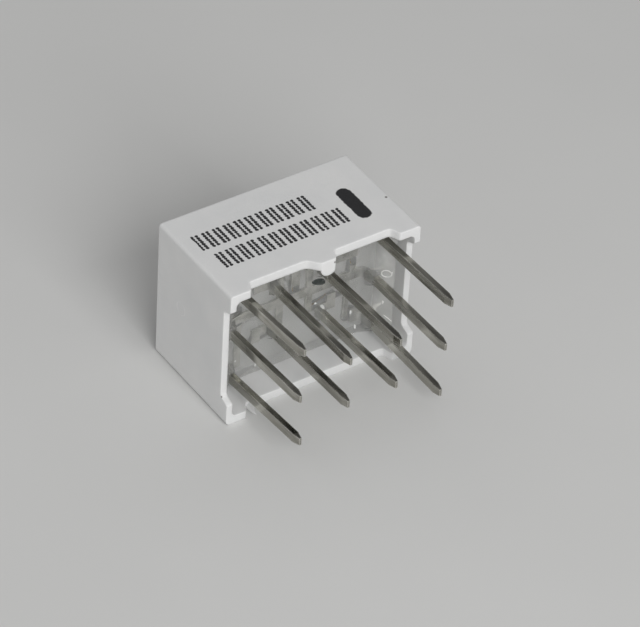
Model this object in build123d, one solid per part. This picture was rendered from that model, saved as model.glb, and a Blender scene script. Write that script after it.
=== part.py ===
from build123d import *
import os
from math import radians, tan

# Single-digit seven-segment light display for through-hole mounting.
# It is drawn face down, with its leads up: x runs along the case and up the digit, y runs across
# it to the digit's right, and z = 0 is the plane of the feet, which sit on a circuit board.
# The last step lays it on a long side wall, as a loose one comes to rest, with its leads along +Y.

# Case, in millimetres
LENGTH = 10.0
WIDTH = 7.4
DEPTH = 6.0
MARKED_CORNER_ROUND = 0.15
PLAIN_CORNER_ROUND = 0.25
FACE_EDGE_ROUND = 0.1

# Open back of the case
END_WALL = 0.3
SIDE_WALL = 0.42
WELL_FLOOR = -2.8
WELL_DRAFT = 2.0
WELL_CORNER = 0.3

# Rim, which is low between the feet, and the smooth flanks that lead up to the feet
RIM_DROP = 0.52
FLANK_LIFT = 0.04
FLANK = 0.55
LONG_FLANK = 0.95

# Reach of each corner foot along the long wall and along the end wall. The near end is at +x.
NEAR_MARKED_FOOT = (0.86, 0.75)
NEAR_PLAIN_FOOT = (0.9, 1.0)
FAR_MARKED_FOOT = (0.93, 0.75)
FAR_PLAIN_FOOT = (0.9, 1.05)

# Middle foot on the marked long wall, at -y, and the tapered boss that thickens it on the inside
MIDDLE_FOOT = (-0.3, 0.05)
BOSS_X = -0.12
BOSS_RADIUS = 0.42
BOSS_ROOT_RADIUS = 0.16
BOSS_DEPTH = 1.3

# Digit on the face
DIGIT_HEIGHT = 7.0
DIGIT_WIDTH = 4.0
DIGIT_SHIFT = -0.4
SLANT = tan(radians(10))
STROKE = 0.75
SEGMENT_GAP = 0.12
DOT_DIAMETER = 1.0
DOT_Y = 2.3

# Light cavities behind the segments
MOUTH_LENGTH = 1.8
MOUTH_STROKE = 0.6
DOT_MOUTH_DIAMETER = 0.9
BAR_BACK = -4.2

# Lead frame, stamped from sheet and lying on the floor of the open back
PITCH = 2.54
SHEET = 0.28
LEAD_WIDTH = 0.46
BRANCH_WIDTH = 0.33
DOT_BRANCH_WIDTH = 0.27
BRANCH_X = 0.785
TAB_Y = -0.42
BEND_INSIDE = 0.2
LEAD_REACH = 3.9
POINT_LENGTH = 0.4
POINT_SHEET = 0.1
POINT_WIDTH = 0.38

# Chips and bond wires
CHIP_BASE = 0.3
CHIP_TOP = 0.24
CHIP_HEIGHT = 0.25
CHIP_OFFSET = 0.45
DOT_CHIP_OFFSET = 0.24
DOT_BOND_OFFSET = 0.27
WIRE_DIAMETER = 0.05
WIRE_SIDES = 6
WIRE_LOOP = 0.2
WIRE_SHOULDER = 0.12
BALL_DIAMETER = 0.11
BALL_HEIGHT = 0.04

# Resin cast into the back. It is shallow in the middle, climbs to the end walls behind the outer
# leads, and forms a meniscus on the long walls and a collar around each lead.
FILL_LEVEL = -2.15
END_FILL_LEVEL = -0.85
FLAT_REACH = 2.3
MENISCUS_RUN = 0.25
MENISCUS_CLIMB = 0.2
MENISCUS_INTO_WALL = 0.03
COLLAR_SPREAD = 0.24
COLLAR_SINK = 0.3
COLLAR_HEIGHT = 0.25
COLLAR_LIP = 0.03

# Places that follow from the sizes above
SIDE = WIDTH / 2
END = LENGTH / 2
OUTER = 1.5 * PITCH
INNER = 0.5 * PITCH
ACROSS = (DIGIT_WIDTH - STROKE) / 2
UP = (DIGIT_HEIGHT - STROKE) / 2
BEND_MIDDLE = BEND_INSIDE + SHEET / 2
LEG_ROOT = WELL_FLOOR + SHEET + BEND_INSIDE
SEAT_Y = (DEPTH - LEAD_REACH) / 2

# Each segment: its middle as (right, up), the direction its bar runs, its outer side, and
# whether its two ends are mitred at a corner of the digit (True) or pointed (False)
SEGMENTS = {
    "a": ((0, UP), (1, 0), (0, 1), (True, True)),
    "b": ((ACROSS, UP / 2), (0, 1), (1, 0), (False, True)),
    "c": ((ACROSS, -UP / 2), (0, -1), (1, 0), (False, True)),
    "d": ((0, -UP), (-1, 0), (0, -1), (True, True)),
    "e": ((-ACROSS, -UP / 2), (0, -1), (-1, 0), (False, True)),
    "f": ((-ACROSS, UP / 2), (0, 1), (-1, 0), (False, True)),
    "g": ((0, 0), (-1, 0), (0, 1), (False, False)),
}

# Each segment's lead: the place of its leg, and the side of the leg that its flat part is on
LEGS = {
    "a": ((OUTER, PITCH), -1),
    "b": ((INNER, INNER), 1),
    "c": ((-INNER, INNER), -1),
    "d": ((-INNER, -INNER), -1),
    "e": ((-OUTER, -PITCH), 1),
    "f": ((INNER, -INNER), 1),
    "g": ((OUTER, -PITCH), -1),
    "dp": ((-OUTER, PITCH), 1),
}

# Loose leads are never quite straight: how far each tip leans along x and y, by leg
LEAN = {
    (OUTER, -PITCH): (-0.14, -0.31),
    (OUTER, 0): (-0.05, -0.25),
    (OUTER, PITCH): (-0.15, -0.29),
    (INNER, -INNER): (-0.09, -0.02),
    (INNER, INNER): (-0.09, -0.11),
    (-INNER, -INNER): (-0.18, 0.01),
    (-INNER, INNER): (-0.10, -0.13),
    (-OUTER, -PITCH): (-0.29, 0.16),
    (-OUTER, 0): (-0.12, 0.06),
    (-OUTER, PITCH): (-0.04, 0.15),
}


def on_face(right, up):
    """Case coordinates of a point of the slanted digit."""
    return (up, right + SLANT * up + DIGIT_SHIFT)


def segment_outline(letter, length, stroke):
    """Flat outline of one segment, with mitred or pointed ends."""
    (right, up), run, outer, mitred = SEGMENTS[letter]
    half = stroke / 2
    corners = []
    for end, mitre in zip((-1, 1), mitred):
        shoulder = end * (length / 2 - half)
        if mitre:
            ring = [(shoulder, -half), (shoulder + end * stroke, half)]
        else:
            ring = [(shoulder, -half), (end * length / 2, 0), (shoulder, half)]
        corners += ring if end > 0 else ring[::-1]
    points = []
    for distance, side in corners:
        point_right = right + run[0] * distance + outer[0] * side
        point_up = up + run[1] * distance + outer[1] * side
        points.append(on_face(point_right, point_up))
    return make_face(Polyline(*points, close=True))


def light_cavity(letter):
    """Tapered hole from the floor of the open back to the face."""
    if letter == "dp":
        cone = Cone(DOT_DIAMETER / 2, DOT_MOUTH_DIAMETER / 2, WELL_FLOOR + DEPTH)
        return Pos(-UP, DOT_Y, (WELL_FLOOR - DEPTH) / 2) * cone
    _, run, _, _ = SEGMENTS[letter]
    spacing = 2 * ACROSS if run[0] else UP
    front = segment_outline(letter, spacing - SEGMENT_GAP, STROKE)
    mouth = segment_outline(letter, MOUTH_LENGTH, MOUTH_STROKE)
    return loft([Pos(0, 0, -DEPTH) * front, Pos(0, 0, WELL_FLOOR) * mouth])


def back_well():
    """Space inside the open back, drafted so that the mould lets go."""
    opening = RectangleRounded(LENGTH - 2 * END_WALL, WIDTH - 2 * SIDE_WALL, WELL_CORNER)
    return extrude(opening, -WELL_FLOOR, dir=(0, 0, -1), taper=WELL_DRAFT)


def rim_gap(start, start_flank, finish, finish_flank):
    """Profile of the low rim between two feet, with a smooth flank up to each foot."""
    level = [(1, 0), (1, 0)]
    down = Spline((start, FLANK_LIFT), (start + start_flank, -RIM_DROP), tangents=level)
    floor = Line(down @ 1, (finish - finish_flank, -RIM_DROP))
    up = Spline(floor @ 1, (finish, FLANK_LIFT), tangents=level)
    lid = Polyline(up @ 1, (finish, RIM_DROP), (start, RIM_DROP), down @ 0)
    return make_face([down, floor, up, lid])


def rim_gaps():
    """Cuts that leave the four corner feet, and the middle foot on the marked wall."""
    near_plain, far_plain = NEAR_PLAIN_FOOT, FAR_PLAIN_FOOT
    near_marked, far_marked = NEAR_MARKED_FOOT, FAR_MARKED_FOOT
    middle_low, middle_high = MIDDLE_FOOT
    marked, plain = Plane.XZ.offset(SIDE), Plane.XZ.offset(-SIDE)
    near, far = Plane.YZ.offset(END), Plane.YZ.offset(-END)
    long_gaps = [
        marked * rim_gap(far_marked[0] - END, FLANK, middle_low, FLANK),
        marked * rim_gap(middle_high, LONG_FLANK, END - near_marked[0], FLANK),
        plain * rim_gap(far_plain[0] - END, FLANK, END - near_plain[0], FLANK),
    ]
    end_gaps = [
        near * rim_gap(near_marked[1] - SIDE, FLANK, SIDE - near_plain[1], FLANK),
        far * rim_gap(far_marked[1] - SIDE, FLANK, SIDE - far_plain[1], FLANK),
    ]
    cuts = [extrude(gap, 2 * SIDE_WALL, both=True) for gap in long_gaps]
    return cuts + [extrude(gap, 2 * END_WALL, both=True) for gap in end_gaps]


def middle_boss():
    """Tapered half-round boss inside the marked wall, behind its middle foot."""
    cone = Cone(BOSS_ROOT_RADIUS, BOSS_RADIUS, BOSS_DEPTH)
    return Pos(BOSS_X, SIDE_WALL - SIDE, -BOSS_DEPTH / 2) * cone


def make_housing():
    """White moulded case: a block with the open back, the feet and the light cavities."""
    outline = Rectangle(LENGTH, WIDTH)
    marked, plain = outline.vertices().group_by(Axis.Y)
    outline = fillet(marked, MARKED_CORNER_ROUND)
    outline = fillet(outline.vertices().group_by(Axis.Y)[-1], PLAIN_CORNER_ROUND)
    block = extrude(outline, DEPTH, dir=(0, 0, -1))
    block = fillet(block.edges().group_by(Axis.Z)[0], FACE_EDGE_ROUND)
    block -= back_well()
    block += middle_boss()
    for cut in rim_gaps():
        block -= cut
    for letter in LEGS:
        block -= light_cavity(letter)
    return block


def strip(start, finish, width):
    """Straight bar of the stamped sheet, squared off half a width past each end."""
    (x0, y0), (x1, y1) = start, finish
    bar = Rectangle(abs(x1 - x0) + width, abs(y1 - y0) + width)
    return Pos((x0 + x1) / 2, (y0 + y1) / 2) * bar


def chip_place(letter):
    """Where the chip of a segment sits."""
    if letter == "dp":
        return (-UP - DOT_CHIP_OFFSET, DOT_Y)
    (right, up), (run_right, run_up), _, _ = SEGMENTS[letter]
    return on_face(right + run_right * CHIP_OFFSET, up + run_up * CHIP_OFFSET)


def bond_place(letter):
    """Where the bond wire of a segment lands on the common lead."""
    if letter == "dp":
        return (-UP + DOT_BOND_OFFSET, DOT_Y)
    (right, up), run, _, _ = SEGMENTS[letter]
    if run[1]:
        return on_face(right, BRANCH_X if up > 0 else -BRANCH_X)
    return (up, TAB_Y if letter == "d" else 0)


def lead_plan(letter):
    """Outline of the flat part of one segment's lead, from the bend to the chip."""
    (leg_x, leg_y), side = LEGS[letter]
    chip_x, chip_y = chip_place(letter)
    start = leg_x + side * BEND_MIDDLE
    stop = chip_x + side * LEAD_WIDTH / 2
    run = Pos((start + stop) / 2, leg_y) * Rectangle(abs(stop - start), LEAD_WIDTH)
    return run + strip((chip_x, leg_y), (chip_x, chip_y), LEAD_WIDTH)


def common_plan():
    """Outline of the flat part of the common lead: a spine with branches to the cavities."""
    plan = Rectangle(2 * (OUTER - BEND_MIDDLE), LEAD_WIDTH)
    for left, right in ("fb", "ec"):
        plan += strip(bond_place(left), bond_place(right), BRANCH_WIDTH)
    for letter, width in (("dp", DOT_BRANCH_WIDTH), ("d", BRANCH_WIDTH)):
        x, y = bond_place(letter)
        plan += strip((x, 0), (x, y), width)
    return plan


def lean_at(leg, height):
    """Middle of a leg at a height, on its way to its leaning tip."""
    share = (height - LEG_ROOT) / (LEAD_REACH - LEG_ROOT)
    return Pos(leg[0] + share * LEAN[leg][0], leg[1] + share * LEAN[leg][1], height)


def leg_solid(leg, side):
    """Bend and upright leg of a lead, with its own lean and its pinched tip."""
    root = lean_at(leg, LEG_ROOT) * Rectangle(SHEET, LEAD_WIDTH)
    neck = lean_at(leg, LEAD_REACH - POINT_LENGTH) * Rectangle(SHEET, LEAD_WIDTH)
    tip = lean_at(leg, LEAD_REACH) * Rectangle(POINT_SHEET, POINT_WIDTH)
    hinge = Axis((leg[0] + side * BEND_MIDDLE, leg[1], LEG_ROOT), (0, -side, 0))
    return revolve(root, hinge, 90) + loft([root, neck]) + loft([neck, tip])


def make_lead(letter):
    """Lead of one segment: its flat part, bend, leg and tip are one piece of sheet."""
    flat = extrude(Pos(0, 0, WELL_FLOOR) * lead_plan(letter), SHEET)
    return flat + leg_solid(*LEGS[letter])


def make_common_lead():
    """Lead that feeds every chip, with a leg at each end."""
    flat = extrude(Pos(0, 0, WELL_FLOOR) * common_plan(), SHEET)
    return flat + leg_solid((OUTER, 0), -1) + leg_solid((-OUTER, 0), 1)


def make_chip(letter):
    """Light-emitting chip: a small block with sawn sloping sides."""
    base = Pos(*chip_place(letter), WELL_FLOOR) * Rectangle(CHIP_BASE, CHIP_BASE)
    top = Pos(*chip_place(letter), WELL_FLOOR - CHIP_HEIGHT) * Rectangle(CHIP_TOP, CHIP_TOP)
    return loft([base, top])


def make_wire(letter, common_lead):
    """Bond wire: a ball on the chip, then a loop over to the common lead."""
    start = Vector(*chip_place(letter), WELL_FLOOR - CHIP_HEIGHT)
    landing = Vector(*bond_place(letter), WELL_FLOOR + WIRE_DIAMETER / 2)
    crest = start - Vector(0, 0, WIRE_LOOP)
    over = Vector(landing.X - start.X, landing.Y - start.Y, 0).normalized() * WIRE_SHOULDER
    path = Polyline(start, crest, crest + over, landing)
    section = Plane(origin=start, z_dir=path % 0) * RegularPolygon(WIRE_DIAMETER / 2, WIRE_SIDES)
    wire = sweep(section, path=path, transition=Transition.RIGHT)
    ball = Pos(start) * extrude(RegularPolygon(BALL_DIAMETER / 2, WIRE_SIDES), -BALL_HEIGHT)
    return ball + wire - common_lead


def resin_pool():
    """Block whose top is the surface of the resin, with its climb to both end walls."""
    flat = Line((-FLAT_REACH, FILL_LEVEL), (FLAT_REACH, FILL_LEVEL))
    near = TangentArc(flat @ 1, (END, END_FILL_LEVEL), tangent=(1, 0))
    far = TangentArc(flat @ 0, (-END, END_FILL_LEVEL), tangent=(-1, 0))
    below = Polyline(near @ 1, (END, -DEPTH), (-END, -DEPTH), far @ 1)
    return extrude(Plane.XZ * make_face([flat, near, below, far]), WIDTH, both=True)


def meniscus(side):
    """Concave strip of resin along one long wall."""
    wall = SIDE - SIDE_WALL + FILL_LEVEL * tan(radians(WELL_DRAFT))
    foot = (side * (wall - MENISCUS_RUN), FILL_LEVEL)
    crest = (side * (wall + MENISCUS_INTO_WALL), FILL_LEVEL + MENISCUS_CLIMB)
    curve = TangentArc(foot, crest, tangent=(side, 0))
    below = Polyline(crest, (crest[0], WELL_FLOOR), (foot[0], WELL_FLOOR), foot)
    return extrude(Plane.YZ * make_face([curve, below]), END - END_WALL, both=True)


def fill_height(x):
    """Level of the resin at a distance along the case, near enough to seat a collar."""
    share = max(0, abs(x) - FLAT_REACH) / (END - FLAT_REACH)
    return FILL_LEVEL + share**2 * (END_FILL_LEVEL - FILL_LEVEL)


def lead_collar(leg):
    """Resin drawn up around a leg where it leaves the surface."""
    level = fill_height(leg[0])
    foot = Rectangle(SHEET + 2 * COLLAR_SPREAD, LEAD_WIDTH + 2 * COLLAR_SPREAD)
    crest = Rectangle(SHEET + 2 * COLLAR_LIP, LEAD_WIDTH + 2 * COLLAR_LIP)
    bottom, top = lean_at(leg, level - COLLAR_SINK), lean_at(leg, level + COLLAR_HEIGHT)
    return loft([bottom * foot, top * crest])


def make_encapsulant(inside):
    """Clear resin that fills the back and seals in the lead frame."""
    resin = back_well() & (resin_pool() + meniscus(1) + meniscus(-1))
    for letter in LEGS:
        resin += split(light_cavity(letter), Plane.XY.offset(BAR_BACK), keep=Keep.TOP)
    for leg in LEAN:
        resin += lead_collar(leg)
    for piece in inside:
        resin -= piece
    return resin


def make_segment(letter):
    """Bar of milky resin that fills the front of a light cavity, flush with the face."""
    return split(light_cavity(letter), Plane.XY.offset(BAR_BACK), keep=Keep.BOTTOM)


def make_parts():
    """Every piece of the display, by name."""
    common = make_common_lead()
    inside = {"common_lead": common}
    bars = {}
    for letter in LEGS:
        inside["lead_" + letter] = make_lead(letter)
        inside["die_" + letter] = make_chip(letter)
        inside["bond_wire_" + letter] = make_wire(letter, common)
        bar_name = "decimal_point" if letter == "dp" else "segment_" + letter
        bars[bar_name] = make_segment(letter)
    parts = {"housing": make_housing(), "encapsulant": make_encapsulant(inside.values())}
    return parts | inside | bars


# Laid down, the case rests on the long wall that has no middle foot
LAID_DOWN = Pos(0, SEAT_Y, SIDE) * Rot(-90, 0, 0)

os.makedirs("parts", exist_ok=True)
for name, solid in make_parts().items():
    solid.label = name
    export_step(LAID_DOWN * solid, "parts/" + name + ".step")
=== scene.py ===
"""Looks of the led display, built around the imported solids.

Lengths are millimetres in the solids' frame: X runs along the case, Y from the display face to the tips
of the leads, and Z up from the wall that the part lies on.
"""

import math

import bpy
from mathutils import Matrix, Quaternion, Vector


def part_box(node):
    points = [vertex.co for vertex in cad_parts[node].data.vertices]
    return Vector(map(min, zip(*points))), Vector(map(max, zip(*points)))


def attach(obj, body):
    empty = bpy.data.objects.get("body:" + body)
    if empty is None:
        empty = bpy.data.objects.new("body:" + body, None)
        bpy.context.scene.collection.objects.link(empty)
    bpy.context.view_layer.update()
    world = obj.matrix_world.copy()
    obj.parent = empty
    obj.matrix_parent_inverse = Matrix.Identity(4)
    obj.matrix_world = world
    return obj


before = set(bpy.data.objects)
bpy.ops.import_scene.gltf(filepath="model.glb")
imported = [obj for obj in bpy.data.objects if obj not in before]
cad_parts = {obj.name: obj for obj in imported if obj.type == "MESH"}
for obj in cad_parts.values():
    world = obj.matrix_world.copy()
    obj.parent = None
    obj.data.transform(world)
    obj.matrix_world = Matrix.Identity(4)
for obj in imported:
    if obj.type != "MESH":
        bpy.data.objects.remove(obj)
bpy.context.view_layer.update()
case_low, case_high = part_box("housing")

MM = 0.001

# Faces of the case, from the solids
DISPLAY_FACE = case_low.y / MM
MARKED_WALL = case_high.z / MM
END_WALL = case_high.x / MM

# How far behind the display face and the marked wall a point still takes their paint and ink
PAINT_DEPTH = 0.02
INK_DEPTH = 0.1

# Camera, at the viewing angle of the photograph. Its roll is in degrees
CAMERA_PLACE = (89.23, 125.45, 131.61)
CAMERA_AIM = (-1.13, -0.85, 2.58)
CAMERA_ROLL = 3.395
CAMERA_LENS = 252.68
CAMERA_SENSOR = 36
CAMERA_NEAR = 10

# Light from all round, and one large soft lamp
WORLD_LIGHT = 0.35
KEY_DIRECTION = (0.16, 0.81, 0.56)
KEY_DISTANCE = 300
KEY_SIZE = 180
KEY_POWER = 0.57

FLOOR_SIZE = 1600

# Colours, in pairs where a surface wanders between two
WHITE_PLASTIC = ((0.76, 0.765, 0.765), (0.81, 0.81, 0.805))
# Paler white of the gate ring, and of the painted highlight along the case's edges
GATE_RING_AND_EDGE_HIGHLIGHT = (0.93, 0.93, 0.925)
SPECK_COLOUR = (0.2, 0.19, 0.18)
INK_COLOUR = (0.012, 0.012, 0.014)
FACE_PAINT = ((0.2, 0.205, 0.21), (0.235, 0.24, 0.245))
CLEAR_RESIN = ((0.9, 0.905, 0.88), (0.97, 0.97, 0.955))
MILKY_RESIN = ((0.72, 0.74, 0.72), (0.8, 0.81, 0.79))
# Whitish painted highlight on the blisters and the burst bubble's rim
PAINTED_GLINT_WHITE = ((0.93, 0.93, 0.91), (0.98, 0.98, 0.97))
# Colour of the dark glassy patch in the resin
DARK_PATCH_COLOUR = ((0.02, 0.026, 0.024), (0.07, 0.08, 0.075))
SILVER_PLATING = ((0.3, 0.3, 0.27), (0.8, 0.79, 0.74))
# Lit and shaded copies of the lead metal: faces that look up or down take the shaded ones as painted
# shade, darkest towards the tips
LIT_FACE_METAL = ((0.29, 0.283, 0.248), (0.5, 0.49, 0.445))
SHADED_FACE_METAL = ((0.26, 0.255, 0.222), (0.44, 0.43, 0.385))
SHADED_TIP_METAL = ((0.09, 0.088, 0.078), (0.2, 0.195, 0.175))
# Painted highlight along the leads' edges
EDGE_HIGHLIGHT_METAL = (0.88, 0.86, 0.81)
CHIP = ((0.1, 0.09, 0.07), (0.2, 0.17, 0.1))
GOLD = ((0.85, 0.58, 0.22), (0.95, 0.7, 0.32))
PALE_FLOOR = ((0.7, 0.7, 0.69), (0.73, 0.73, 0.72))

# Rows of plain ink strokes: X of each row's start and finish, and Y of its low and high edge
INK_ROWS = ((-1.72, 4.32, -3.4, -2.3), (-2.57, 4.15, -1.9, -0.8))
INK_ROW_EDGE = 0.01

# Strokes of a row: pairs of columns of round dots
INK_PAIR_PITCH = 0.56
INK_PAIR_GAP = 0.23
INK_DOT_PITCH = 0.157
INK_DOT_RADIUS = 0.084
INK_DOT_EDGE = 0.012

# Thick bar of ink with round ends: X and Y of its middle, half its straight length, and its radius
INK_BAR = (-3.3, -1.8, 0.8, 0.36)
INK_BAR_EDGE = 0.03

# How far the edges of the ink wander, and how closely
INK_RAGGED = 0.1
INK_RAGGED_SCALE = 5

# Ring that the mould's gate left on the end wall: Y and Z of its middle, its radius, and half its line
GATE_RING = (-2.9, 3.95)
GATE_RING_RADIUS = 0.33
GATE_RING_LINE = 0.02

# Dark specks in the moulding: their place and radius
SPECKS = (
    (-4.79, -1.43, 7.4, 0.06),
    (-0.42, 1.05, 7.19, 0.05),
    (5.0, 0.6, 1.39, 0.05),
    (-4.61, 1.05, 1.27, 0.07),
)
SPECK_EDGE = 0.02

# Skin of the resin: Y of its level, and the arcs that climb from there to the end walls
RESIN_LEVEL = -1.1
RESIN_FLAT = 2.3
RESIN_ARC = 3.454

# X where the resin starts to turn hazy and is haziest, and how much light it lets through at each
RESIN_HAZE = (3.5, 4.5)
RESIN_CLEARNESS = (0.82, 0.5)

# How much the skin's fine ripples add to its wide swells
RIPPLE_SHARE = 0.12

# How far the resin reaches into what it touches, so that no gap shows between them
RESIN_OVERLAP = 0.008

# Plating of the leads: Y up to which it is fresh, and half the stretch over which that ends
FRESH_PLATING = -0.5
FRESH_EDGE = 0.7

# Y where the painted shade on the faces that look up or down starts to deepen and is deepest, and Y
# past which an end is a cut tip
LEAD_DARKENING = (1.5, 4.3)
LEAD_TIPS = 4

# How squarely a side looks up or down to take the painted shade, and an end looks out to be a cut one
SHADED_FACING = 0.6
CUT_FACING = 0.9

# Streaks along the leads, drawn out along Y, and what dull patches and coarse places add
STREAK_STRETCH = (1, 0.08, 1)
PATCH_DULLNESS = 0.5
COARSENESS = 0.2

# Blisters in the skin of the resin, skinned in a painted highlight: X, Z, half-width, half-height,
# rise, and slant of Z over X
BUBBLES = (
    (-4.04, 3.51, 0.07, 0.1, 0.06, 0),
    (-4.55, 3.95, 0.05, 0.04, 0.03, 0),
    (-4.3, 2.2, 0.04, 0.12, 0.03, 0),
    (-4.52, 1.28, 0.2, 0.04, 0.03, 1.1),
    (-4.1, 0.55, 0.12, 0.05, 0.05, -0.3),
    (-3.72, 0.42, 0.1, 0.06, 0.05, 0.5),
    (-3.2, 0.85, 0.05, 0.14, 0.04, 0),
    (-2.95, 1.75, 0.06, 0.13, 0.05, 0),
    (-2.3, 3.4, 0.04, 0.04, 0.03, 0),
    (-1.36, 2.74, 0.1, 0.1, 0.22, 0),
    (-1.01, 3.05, 0.07, 0.06, 0.05, 0),
    (0.45, 2.0, 0.05, 0.05, 0.04, 0),
    (2.1, 0.75, 0.04, 0.1, 0.03, 0),
    (3.0, 3.0, 0.04, 0.04, 0.03, 0),
    (3.3, 1.6, 0.06, 0.05, 0.04, 0),
    (3.6, 0.95, 0.06, 0.06, 0.05, 0),
    (3.95, 1.35, 0.05, 0.05, 0.04, 0),
)

# Form of a blister: rings and sides, the width left at its poles, and the lobes of its uneven edge
BLISTER_RINGS = 7
BLISTER_SIDES = 20
BLISTER_POLE = 0.05
BLISTER_UNEVEN = 0.06
BLISTER_LOBES = 3
BLISTER_PHASE = 9

# Dark glassy patch in the skin of the resin, given as a blister is
DARK_PATCH = (-1.14, 4.24, 0.38, 0.2, 0.03, 0.35)

# Rim of a burst bubble, skinned in a painted highlight: X and Z of its middle, its radius, and half its
# thickness
BURST_BUBBLE = (-4.36, 3.87, 0.185, 0.033)
BURST_SIDES = 40
BURST_SECTION_SIDES = 10
BURST_UNEVEN = 0.05
BURST_LOBES = 2

# Pointed sliver of flash on the rim of the resting wall: the middle of its base, and its tip
FLASH_BASE = (3.42, 0.45, 0.2)
FLASH_TIP = (3.52, 1.28, 0.2)
FLASH_WIDTH = 0.5
FLASH_THICKNESS = 0.16
FLASH_BOW = 0.05
FLASH_WIDTH_TAPER = 0.9
FLASH_THICKNESS_TAPER = 0.7
FLASH_RINGS = 10
FLASH_SIDES = 12

# Steps from the base to the tip. The last ring stops just short of the tip, so that it keeps a width
FLASH_STEPS = 9.3

# The usual range of a noise value, and the samples that find an edge
NOISE_RANGE = (0.3, 0.7)
BEVEL_SAMPLES = 6

# Sockets of the Mix node that mixes colours
MIX_SHARE = 0
MIX_FIRST = 6
MIX_SECOND = 7
MIX_RESULT = 2


# Shader nodes


def fill(tree, node, inputs):
    """Sets a node's inputs. Each is a value, or an output socket to link."""
    for name, value in inputs.items():
        if isinstance(value, bpy.types.NodeSocket):
            tree.links.new(value, node.inputs[name])
        else:
            node.inputs[name].default_value = value


def add(tree, kind, inputs=None, **settings):
    """Adds one shader node."""
    node = tree.nodes.new(kind)
    for name, value in settings.items():
        setattr(node, name, value)
    fill(tree, node, inputs or {})
    return node


def maths(tree, operation, *values, clamp=False):
    """A Math node's output. Each value is a number or an output socket."""
    inputs = dict(enumerate(values))
    return add(tree, "ShaderNodeMath", inputs, operation=operation, use_clamp=clamp).outputs[0]


def vector_maths(tree, operation, *values):
    """A Vector Math node's output. Each value is a vector or an output socket."""
    inputs = dict(enumerate(values))
    return add(tree, "ShaderNodeVectorMath", inputs, operation=operation).outputs[0]


def parts_of(tree, vector):
    """The X, Y and Z of a vector."""
    return add(tree, "ShaderNodeSeparateXYZ", {0: vector}).outputs


def facing(tree):
    """The direction that the surface faces."""
    return add(tree, "ShaderNodeNewGeometry").outputs["Normal"]


def noise(tree, vector, scale, detail=3, roughness=0.5):
    """A noise value around 0.5."""
    inputs = {"Vector": vector, "Scale": scale, "Detail": detail, "Roughness": roughness}
    return add(tree, "ShaderNodeTexNoise", inputs).outputs["Fac"]


def ramp(tree, value, start, finish, low=0, high=1, shape="LINEAR"):
    """A ramp from low at the start to high at the finish, and level past both."""
    inputs = {"Value": value, "From Min": start, "From Max": finish, "To Min": low, "To Max": high}
    return add(tree, "ShaderNodeMapRange", inputs, interpolation_type=shape).outputs[0]


def spread(tree, value, low=0, high=1):
    """Maps a noise value to a range."""
    return ramp(tree, value, *NOISE_RANGE, low, high)


def within(tree, value, reach, edge):
    """1 up to a reach and 0 past it, with a soft edge."""
    return ramp(tree, value, reach + edge, reach - edge, shape="SMOOTHSTEP")


def band(tree, value, low, high, edge):
    """1 between two places and 0 outside, with soft edges."""
    past_low = ramp(tree, value, low - edge, low + edge, shape="SMOOTHSTEP")
    return maths(tree, "MULTIPLY", past_low, within(tree, value, high, edge))


def distance_from(tree, *pairs):
    """Distance from a point, given as pairs of a coordinate and its value at the point."""
    total = 0
    for value, middle in pairs:
        offset = maths(tree, "SUBTRACT", value, middle)
        total = maths(tree, "MULTIPLY_ADD", offset, offset, total)
    return maths(tree, "SQRT", total)


def off_grid(tree, value, pitch):
    """How far a value is from the middle of its cell, on a grid of that pitch."""
    share = maths(tree, "FRACT", maths(tree, "DIVIDE", value, pitch))
    return maths(tree, "MULTIPLY", maths(tree, "SUBTRACT", share, 0.5), pitch)


def opaque(colour):
    """A colour with full alpha. An output socket stays as it is."""
    return colour if isinstance(colour, bpy.types.NodeSocket) else (*colour, 1)


def blend_colour(tree, share, first, second):
    """A colour between two. Each is a colour or an output socket."""
    inputs = {MIX_SHARE: share, MIX_FIRST: opaque(first), MIX_SECOND: opaque(second)}
    return add(tree, "ShaderNodeMix", inputs, data_type="RGBA").outputs[MIX_RESULT]


def wander(tree, value, colours):
    """A colour that a noise value moves between two."""
    return blend_colour(tree, spread(tree, value), *colours)


def soft_normal(tree, radius):
    """The surface's direction, turned smoothly round its edges within a radius."""
    return add(tree, "ShaderNodeBevel", {"Radius": radius * MM}, samples=BEVEL_SAMPLES).outputs[0]


def bump(tree, height, depth, edge=0):
    """A direction from a height of that depth, with soft edges where a radius is given."""
    inputs = {"Height": height, "Distance": depth * MM}
    if edge:
        inputs["Normal"] = soft_normal(tree, edge)
    return add(tree, "ShaderNodeBump", inputs).outputs[0]


def edge_mask(tree, radius, full, none):
    """Mask of the edges: 1 where the soft and flat directions agree by full or less, 0 from none up."""
    inputs = {0: soft_normal(tree, radius), 1: facing(tree)}
    agree = add(tree, "ShaderNodeVectorMath", inputs, operation="DOT_PRODUCT").outputs["Value"]
    return ramp(tree, agree, none, full)


def new_material(name):
    """A material, its node tree, and the place on its surface in millimetres."""
    material = bpy.data.materials.new(name)
    material.use_nodes = True
    tree = material.node_tree
    place = add(tree, "ShaderNodeTexCoord").outputs["Object"]
    return material, tree, vector_maths(tree, "MULTIPLY", place, (1 / MM, 1 / MM, 1 / MM))


def finished(material, inputs):
    """The material, with its shader's inputs set."""
    tree = material.node_tree
    fill(tree, tree.nodes["Principled BSDF"], inputs)
    return material


# Marks on the case


def ink_row(tree, x, y, row):
    """Mask of a row of plain upright strokes."""
    start, finish, low, high = row
    columns = band(tree, x, start, finish, INK_ROW_EDGE)
    inside = maths(tree, "MULTIPLY", columns, band(tree, y, low, high, INK_ROW_EDGE))
    across = off_grid(tree, maths(tree, "SUBTRACT", x, start), INK_PAIR_PITCH)
    along = off_grid(tree, maths(tree, "SUBTRACT", y, low), INK_DOT_PITCH)
    away = distance_from(tree, (maths(tree, "ABSOLUTE", across), INK_PAIR_GAP / 2), (along, 0))
    return maths(tree, "MULTIPLY", inside, within(tree, away, INK_DOT_RADIUS, INK_DOT_EDGE))


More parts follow.
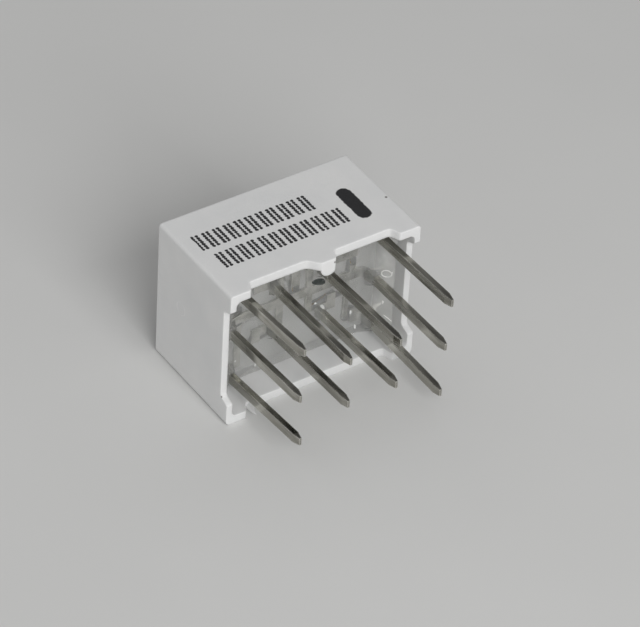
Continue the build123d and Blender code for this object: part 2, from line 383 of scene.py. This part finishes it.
def ink_bar(tree, x, y):
    """Mask of the thick bar with round ends."""
    bar_x, bar_y, half_length, radius = INK_BAR
    along = maths(tree, "ABSOLUTE", maths(tree, "SUBTRACT", y, bar_y))
    past_end = maths(tree, "MAXIMUM", maths(tree, "SUBTRACT", along, half_length), 0)
    return within(tree, distance_from(tree, (x, bar_x), (past_end, 0)), radius, INK_BAR_EDGE)


def ink(tree, vector):
    """Mask of the generic ink marks on the marked wall, with ragged edges."""
    inputs = {"Vector": vector, "Scale": INK_RAGGED_SCALE, "Detail": 2}
    wobble = add(tree, "ShaderNodeTexNoise", inputs).outputs["Color"]
    offset = vector_maths(tree, "SUBTRACT", wobble, (0.5, 0.5, 0.5))
    moved = vector_maths(tree, "MULTIPLY_ADD", offset, (INK_RAGGED, INK_RAGGED, INK_RAGGED), vector)
    x, y, z = parts_of(tree, moved)
    mask = ink_bar(tree, x, y)
    for row in INK_ROWS:
        mask = maths(tree, "MAXIMUM", mask, ink_row(tree, x, y, row))
    return maths(tree, "MULTIPLY", mask, maths(tree, "GREATER_THAN", z, MARKED_WALL - INK_DEPTH))


def gate_ring(tree, vector):
    """Mask of the gate's ring, faint in places."""
    x, y, z = parts_of(tree, vector)
    away = distance_from(tree, (x, END_WALL), (y, GATE_RING[0]), (z, GATE_RING[1]))
    inner, outer = GATE_RING_RADIUS - GATE_RING_LINE, GATE_RING_RADIUS + GATE_RING_LINE
    ring = band(tree, away, inner, outer, GATE_RING_LINE)
    return maths(tree, "MULTIPLY", ring, spread(tree, noise(tree, vector, scale=2.2, detail=1)))


def specks(tree, vector):
    """Mask of the few dark specks."""
    place = parts_of(tree, vector)
    mask = 0
    for *middle, radius in SPECKS:
        away = distance_from(tree, *zip(place, middle))
        mask = maths(tree, "MAXIMUM", mask, within(tree, away, radius, SPECK_EDGE))
    return mask


# Finishes


def moulding():
    """White moulded plastic with a painted highlight along its edges, a grey painted face, and ink
    marks on one wall.
    """
    material, tree, vector = new_material("white_moulding")
    grain = noise(tree, vector, scale=14, detail=4, roughness=0.65)
    white = wander(tree, noise(tree, vector, scale=0.5), WHITE_PLASTIC)
    # Painted highlight: the case's rounded edges are painted paler, where light would catch them
    edges = edge_mask(tree, radius=0.12, full=0.85, none=0.995)
    pale = maths(tree, "MAXIMUM", gate_ring(tree, vector), edges)
    white = blend_colour(tree, pale, white, GATE_RING_AND_EDGE_HIGHLIGHT)
    white = blend_colour(tree, specks(tree, vector), white, SPECK_COLOUR)
    white = blend_colour(tree, ink(tree, vector), white, INK_COLOUR)
    painted = maths(tree, "LESS_THAN", parts_of(tree, vector)["Y"], DISPLAY_FACE + PAINT_DEPTH)
    inputs = {
        "Base Color": blend_colour(tree, painted, white, wander(tree, grain, FACE_PAINT)),
        "Roughness": spread(tree, grain, 0.42, 0.55),
        "Normal": bump(tree, grain, depth=0.006, edge=0.1),
        "Subsurface Weight": 0.3,
        "Subsurface Radius": (1, 1, 1),
        "Subsurface Scale": 0.3 * MM,
    }
    return finished(material, inputs)


def clear_resin():
    """Clear resin under a glossy, gently uneven skin, hazier where it climbs the end walls."""
    material, tree, vector = new_material("clear_resin")
    swell = noise(tree, vector, scale=0.8, detail=2)
    ripple = noise(tree, vector, scale=3.5, detail=2)
    normal = bump(tree, maths(tree, "MULTIPLY_ADD", ripple, RIPPLE_SHARE, swell), depth=0.12)
    sideways = maths(tree, "ABSOLUTE", parts_of(tree, vector)["X"])
    inputs = {
        "Base Color": wander(tree, noise(tree, vector, scale=0.9), CLEAR_RESIN),
        "Roughness": 0.12,
        "IOR": 1.5,
        "Transmission Weight": ramp(tree, sideways, *RESIN_HAZE, *RESIN_CLEARNESS, "SMOOTHSTEP"),
        "Coat Weight": 1,
        "Coat Roughness": 0.03,
        "Normal": normal,
        "Coat Normal": normal,
    }
    return finished(material, inputs)


def milky_resin():
    """Cloudy white resin of the segments."""
    material, tree, vector = new_material("milky_resin")
    inputs = {
        "Base Color": wander(tree, noise(tree, vector, scale=1.6), MILKY_RESIN),
        "Roughness": spread(tree, noise(tree, vector, scale=9), 0.25, 0.4),
    }
    return finished(material, inputs)


def tinned_metal():
    """Plated lead metal, bright in the resin and darker outside, with painted highlights on its edges.

    The faces that look up and down take a painted shade, darker than the other faces, which deepens
    towards the tips.
    """
    material, tree, vector = new_material("tinned_lead")
    along = add(tree, "ShaderNodeMapping", {"Vector": vector, "Scale": STREAK_STRETCH}).outputs[0]
    streak = noise(tree, along, scale=5, detail=3, roughness=0.6)
    patch = noise(tree, vector, scale=1.3, detail=2)
    y = parts_of(tree, vector)["Y"]
    direction = parts_of(tree, facing(tree))

    # Painted shade: faces that look up or down take a darker copy of the metal, deepening towards the
    # tips
    up_or_down = maths(tree, "ABSOLUTE", direction["Z"])
    shaded_faces = maths(tree, "GREATER_THAN", up_or_down, SHADED_FACING)
    outwards = ramp(tree, y, *LEAD_DARKENING)
    near = wander(tree, streak, SHADED_FACE_METAL)
    far = wander(tree, streak, SHADED_TIP_METAL)
    shaded_colour = blend_colour(tree, outwards, near, far)
    around_zero = maths(tree, "SUBTRACT", patch, 0.5)
    shade_and_dull_patches = maths(tree, "MULTIPLY_ADD", around_zero, PATCH_DULLNESS, shaded_faces, clamp=True)
    outside = blend_colour(tree, shade_and_dull_patches, wander(tree, streak, LIT_FACE_METAL), shaded_colour)

    fresh = within(tree, y, FRESH_PLATING, FRESH_EDGE)
    body = blend_colour(tree, fresh, outside, wander(tree, patch, SILVER_PLATING))
    # Painted highlight: the leads' edges are painted paler, in patches
    edges = edge_mask(tree, radius=0.07, full=0.91, none=0.99)
    edge_highlight = maths(tree, "MULTIPLY", edges, spread(tree, patch, 0.4, 1))

    looks_out = maths(tree, "GREATER_THAN", direction["Y"], CUT_FACING)
    cut_end = maths(tree, "MULTIPLY", looks_out, maths(tree, "GREATER_THAN", y, LEAD_TIPS))
    coarse = maths(tree, "MAXIMUM", cut_end, fresh)
    polish = spread(tree, streak, 0.12, 0.24)
    inputs = {
        "Base Color": blend_colour(tree, edge_highlight, body, EDGE_HIGHLIGHT_METAL),
        "Metallic": 1,
        "Roughness": maths(tree, "MULTIPLY_ADD", coarse, COARSENESS, polish),
        "Normal": bump(tree, streak, depth=0.004, edge=0.05),
    }
    return finished(material, inputs)


def chip_material():
    """Sawn semiconductor chip."""
    material, tree, vector = new_material("chip")
    inputs = {"Base Color": wander(tree, noise(tree, vector, scale=12), CHIP), "Roughness": 0.35}
    return finished(material, inputs)


def gold():
    """Gold bond wire."""
    material, tree, vector = new_material("gold_wire")
    colour = wander(tree, noise(tree, vector, scale=20), GOLD)
    return finished(material, {"Base Color": colour, "Metallic": 1, "Roughness": 0.25})


def painted_glint_material():
    """Thin whitish skin of the blisters and the burst bubble's rim, a painted highlight."""
    material, tree, vector = new_material("painted_glint_skin")
    inputs = {
        "Base Color": wander(tree, noise(tree, vector, scale=4, detail=2), PAINTED_GLINT_WHITE),
        "Roughness": 0.05,
        "IOR": 1.5,
        "Transmission Weight": 0.12,
        "Coat Weight": 1,
        "Normal": bump(tree, noise(tree, vector, scale=8, detail=2), depth=0.01),
    }
    return finished(material, inputs)


def dark_patch_material():
    """Dark glassy look of the dark patch in the resin."""
    material, tree, vector = new_material("dark_patch")
    inputs = {
        "Base Color": wander(tree, noise(tree, vector, scale=3, detail=2), DARK_PATCH_COLOUR),
        "Roughness": spread(tree, noise(tree, vector, scale=6, detail=2), 0.12, 0.3),
    }
    return finished(material, inputs)


# Solids and added pieces


def dress_solids(finishes):
    """Gives every solid the finish of what it is made of, by a word in its name."""
    for name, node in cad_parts.items():
        finish = next(made for word, made in finishes.items() if word in name)
        node.data.materials.clear()
        node.data.materials.append(finish)


def swell_resin():
    """Lets the resin reach a hair into what it touches."""
    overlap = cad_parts["encapsulant"].modifiers.new("overlap", "DISPLACE")
    overlap.strength = RESIN_OVERLAP * MM
    overlap.mid_level = 0


def turns(count):
    """Angles in equal steps once round."""
    return [2 * math.pi * step / count for step in range(count)]


def on_resin(x, z, rise):
    """A point that stands above the skin of the resin by the rise."""
    past_flat = max(0, abs(x) - RESIN_FLAT)
    drop = math.sqrt(RESIN_ARC**2 - past_flat**2)
    normal = Vector((-math.copysign(past_flat, x), drop, 0)).normalized()
    return Vector((x, RESIN_LEVEL + RESIN_ARC - drop, z)) + normal * rise


def skin_rings(name, rings, material, closed=False):
    """A smooth piece skinned over rings of points, closed into a hoop or capped at both ends."""
    sides = len(rings[0])
    points = [point * MM for ring in rings for point in ring]
    faces = []
    for ring in range(len(rings) if closed else len(rings) - 1):
        here = ring * sides
        there = (ring + 1) % len(rings) * sides
        for side in range(sides):
            beside = (side + 1) % sides
            faces.append((here + side, here + beside, there + beside, there + side))
    if not closed:
        faces.append(tuple(reversed(range(sides))))
        faces.append(tuple(range(len(points) - sides, len(points))))
    mesh = bpy.data.meshes.new(name)
    mesh.from_pydata(points, [], faces)
    mesh.shade_smooth()
    mesh.materials.append(material)
    piece = bpy.data.objects.new(name, mesh)
    bpy.context.scene.collection.objects.link(piece)
    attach(piece, "root")


def make_blister(name, blister, material):
    """Low rounded blister on the skin of the resin, a little uneven round its edge."""
    x, z, half_width, half_height, rise, slant = blister
    rings = []
    for step in range(BLISTER_RINGS):
        lift = math.pi * (step / (BLISTER_RINGS - 1) - 0.5)
        reach = max(math.cos(lift), BLISTER_POLE)
        ring = []
        for angle in turns(BLISTER_SIDES):
            lobes = math.sin(BLISTER_LOBES * angle + BLISTER_PHASE * x)
            uneven = reach * (1 + BLISTER_UNEVEN * lobes)
            across = half_width * uneven * math.cos(angle)
            up = half_height * uneven * math.sin(angle)
            ring.append(on_resin(x + across, z + up + slant * across, rise * math.sin(lift)))
        rings.append(ring)
    skin_rings(name, rings, material)


def make_burst_bubble(material):
    """Thin round rim that a burst bubble left on the skin of the resin."""
    x, z, radius, thickness = BURST_BUBBLE
    rings = []
    for angle in turns(BURST_SIDES):
        middle = radius * (1 + BURST_UNEVEN * math.sin(BURST_LOBES * angle))
        ring = []
        for lift in turns(BURST_SECTION_SIDES):
            reach = middle + thickness * math.cos(lift)
            across, up = reach * math.cos(angle), reach * math.sin(angle)
            ring.append(on_resin(x + across, z + up, thickness * math.sin(lift)))
        rings.append(ring)
    skin_rings("burst_bubble", rings, material, closed=True)


def make_bubbles():
    """Blisters, a dark patch and a burst bubble in the skin of the resin, the blisters and the rim in a
    whitish painted highlight.
    """
    # Painted highlight: the blisters and the burst rim take a whitish glossy skin
    skin = painted_glint_material()
    for number, blister in enumerate(BUBBLES, 1):
        make_blister(f"bubble_{number}", blister, skin)
    make_blister("dark_patch", DARK_PATCH, dark_patch_material())
    make_burst_bubble(skin)


def make_flash(material):
    """Thin pointed sliver of moulding flash, bowed a little and tapered to its tip."""
    base, tip = Vector(FLASH_BASE), Vector(FLASH_TIP)
    rings = []
    for step in range(FLASH_RINGS):
        share = step / FLASH_STEPS
        middle = base.lerp(tip, share) + Vector((FLASH_BOW * math.sin(math.pi * share), 0, 0))
        width = FLASH_WIDTH / 2 * (1 - share) ** FLASH_WIDTH_TAPER
        thickness = FLASH_THICKNESS / 2 * (1 - share) ** FLASH_THICKNESS_TAPER
        ring = []
        for angle in turns(FLASH_SIDES):
            ring.append(middle + Vector((math.cos(angle) * width, 0, math.sin(angle) * thickness)))
        rings.append(ring)
    skin_rings("rim_flash", rings, material)


# Floor, light and camera


def make_floor():
    """Pale plain floor that the part lies on."""
    bpy.ops.mesh.primitive_grid_add(size=FLOOR_SIZE * MM, x_subdivisions=2, y_subdivisions=2)
    floor = bpy.context.object
    floor.name = "floor"
    material, tree, vector = new_material("floor")
    colour = wander(tree, noise(tree, vector, scale=0.05), PALE_FLOOR)
    floor.data.materials.append(finished(material, {"Base Color": colour, "Roughness": 0.8}))


def make_light():
    """Soft world light and one large soft lamp."""
    world = bpy.data.worlds.new("studio")
    bpy.context.scene.world = world
    world.use_nodes = True
    background = world.node_tree.nodes["Background"]
    fill(world.node_tree, background, {"Color": (1, 1, 1, 1), "Strength": WORLD_LIGHT})
    lamp = bpy.data.lights.new("key", "AREA")
    lamp.energy = KEY_POWER
    lamp.size = KEY_SIZE * MM
    key = bpy.data.objects.new("key", lamp)
    bpy.context.scene.collection.objects.link(key)
    direction = Vector(KEY_DIRECTION).normalized()
    key.location = direction * KEY_DISTANCE * MM
    key.rotation_euler = (-direction).to_track_quat("-Z", "Y").to_euler()


def make_camera():
    """Camera at the viewing angle of the photograph."""
    lens = bpy.data.cameras.new("camera")
    lens.lens = CAMERA_LENS
    lens.sensor_width = CAMERA_SENSOR
    lens.clip_start = CAMERA_NEAR * MM
    camera = bpy.data.objects.new("camera", lens)
    bpy.context.scene.collection.objects.link(camera)
    place, aim = Vector(CAMERA_PLACE) * MM, Vector(CAMERA_AIM) * MM
    roll = Quaternion((0, 0, 1), math.radians(CAMERA_ROLL))
    camera.location = place
    camera.rotation_euler = ((aim - place).to_track_quat("-Z", "Y") @ roll).to_euler()
    bpy.context.scene.camera = camera


finishes = {
    "housing": moulding(),
    "encapsulant": clear_resin(),
    "segment": milky_resin(),
    "lead": tinned_metal(),
    "die": chip_material(),
    "wire": gold(),
}
finishes["decimal"] = finishes["segment"]

dress_solids(finishes)
swell_resin()
make_bubbles()
make_flash(finishes["housing"])
make_floor()
make_light()
make_camera()
bpy.context.scene.view_settings.view_transform = "Standard"
